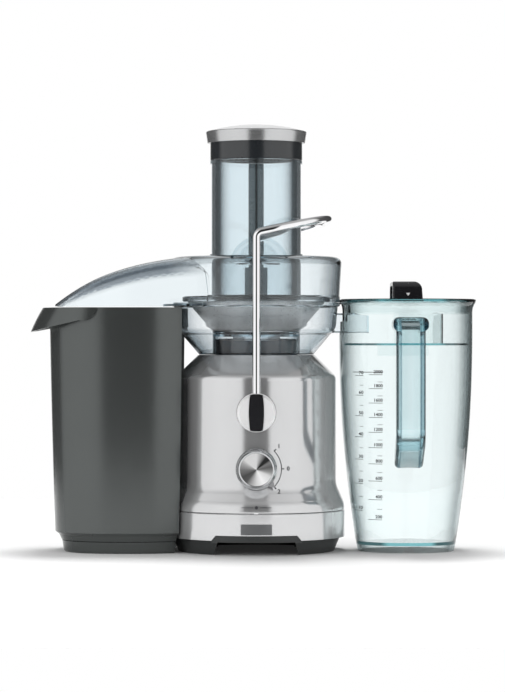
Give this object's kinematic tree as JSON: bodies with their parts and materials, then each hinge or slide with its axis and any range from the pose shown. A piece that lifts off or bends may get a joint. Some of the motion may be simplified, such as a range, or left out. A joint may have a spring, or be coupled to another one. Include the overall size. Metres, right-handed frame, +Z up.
{
  "type": "centrifugal juicer",
  "caption": "Tall centrifugal juicer: silver motor base, clear bowl and cover with a wide feed chute, pusher and locking arm, grey pulp bin and clear lidded jug.",
  "frame": {"origin": "on the counter, under the vertical axis of the motor", "axes": "+Z up along the motor axis, -Y to the front (dial and badge), +X towards the jug, -X towards the pulp bin"},
  "size_m": [0.4719, 0.2102, 0.4505],
  "materials": {
    "silver_body": "satin",
    "badge_metal": "satin",
    "dark_frame": "matte",
    "rubber": "matte",
    "screw_steel": "satin",
    "seat_plastic": "satin",
    "nylon": "satin",
    "shaft_steel": "satin",
    "lamination": "satin",
    "copper": "satin",
    "bracket_alloy": "satin",
    "carbon": "matte",
    "board": "satin",
    "black_plastic": "gloss",
    "dial_metal": "satin",
    "pointer_grey": "satin",
    "chrome": "polished",
    "hub_silver": "satin",
    "clear_plastic": "gloss",
    "basket_plastic": "gloss",
    "mesh_steel": "satin",
    "collar_plastic": "gloss",
    "cap_silver": "satin",
    "bin_plastic": "satin"
  },
  "bodies": {
    "base": {"motor_housing": "silver_body", "base_band": "silver_body", "band_badge": "badge_metal", "foot_frame": "dark_frame", "base_plate": "dark_frame", "rubber_feet": "rubber", "cord_gland": "rubber", "shaft_seal": "rubber", "rubber_mounts": "rubber", "base_screws": "screw_steel", "motor_screws": "screw_steel", "bracket_screws": "screw_steel", "bracket_spacers": "screw_steel", "bowl_seat": "seat_plastic", "pivot_bushes": "nylon", "rotary_switch": "nylon", "brush_holders": "nylon", "lower_bearing": "shaft_steel", "upper_bearing": "shaft_steel", "stator_core": "lamination", "stator_coils": "copper", "lower_bracket": "bracket_alloy", "upper_bracket": "bracket_alloy", "carbon_brushes": "carbon", "control_board": "board", "interlock_switch": "black_plastic", "filter_bowl": "clear_plastic", "juice_nozzle": "clear_plastic", "juicer_cover": "clear_plastic", "feed_chute": "clear_plastic"},
    "spindle": {"motor_shaft": "shaft_steel", "rotor_core": "lamination", "rotor_windings": "copper", "commutator": "copper", "cooling_fan": "black_plastic", "drive_coupling": "black_plastic", "basket_hub": "basket_plastic", "basket_skirt": "basket_plastic", "cutting_disc": "mesh_steel", "filter_mesh": "mesh_steel", "basket_rim": "basket_plastic"},
    "locking_arm": {"arm_rod": "chrome", "arm_hubs": "hub_silver", "hub_inlays": "black_plastic", "pivot_pins": "shaft_steel"},
    "speed_dial": {"speed_dial": "dial_metal", "dial_face": "dial_metal", "dial_pointer": "pointer_grey", "dial_spindle": "shaft_steel"},
    "pusher": {"pusher_body": "clear_plastic", "pusher_collar": "collar_plastic", "pusher_cap": "cap_silver"},
    "pulp_bin": {"pulp_bin": "bin_plastic"},
    "jug": {"juice_jug": "clear_plastic", "jug_handle": "clear_plastic"},
    "jug_lid": {"jug_lid": "clear_plastic", "lid_grip": "black_plastic", "froth_separator": "clear_plastic"}
  },
  "joints": [
    {"name": "pusher_lift", "type": "slide", "parent": "base", "child": "pusher", "axis": [0, 0, 1], "range_m": [0, 0.2]},
    {"name": "arm_swing", "type": "hinge", "parent": "base", "child": "locking_arm", "pos_m": [0, 0, 0.148], "axis": [0, 1, 0], "range_deg": [0, 28]},
    {"name": "dial_turn", "type": "hinge", "parent": "base", "child": "speed_dial", "pos_m": [0, -0.09, 0.0896], "axis": [0, -1, 0], "range_deg": [0, 90]},
    {"name": "spindle_spin", "type": "hinge", "parent": "base", "child": "spindle", "pos_m": [0, 0, 0.23], "axis": [0, 0, 1], "continuous": true},
    {"name": "bin_slide", "type": "slide", "parent": "base", "child": "pulp_bin", "axis": [-1, 0, 0], "range_m": [0, 0.2]},
    {"name": "jug_slide", "type": "slide", "parent": "base", "child": "jug", "axis": [1, 0, 0], "range_m": [0, 0.2]},
    {"name": "lid_lift", "type": "slide", "parent": "jug", "child": "jug_lid", "axis": [0, 0, 1], "range_m": [0, 0.08]}
  ]
}
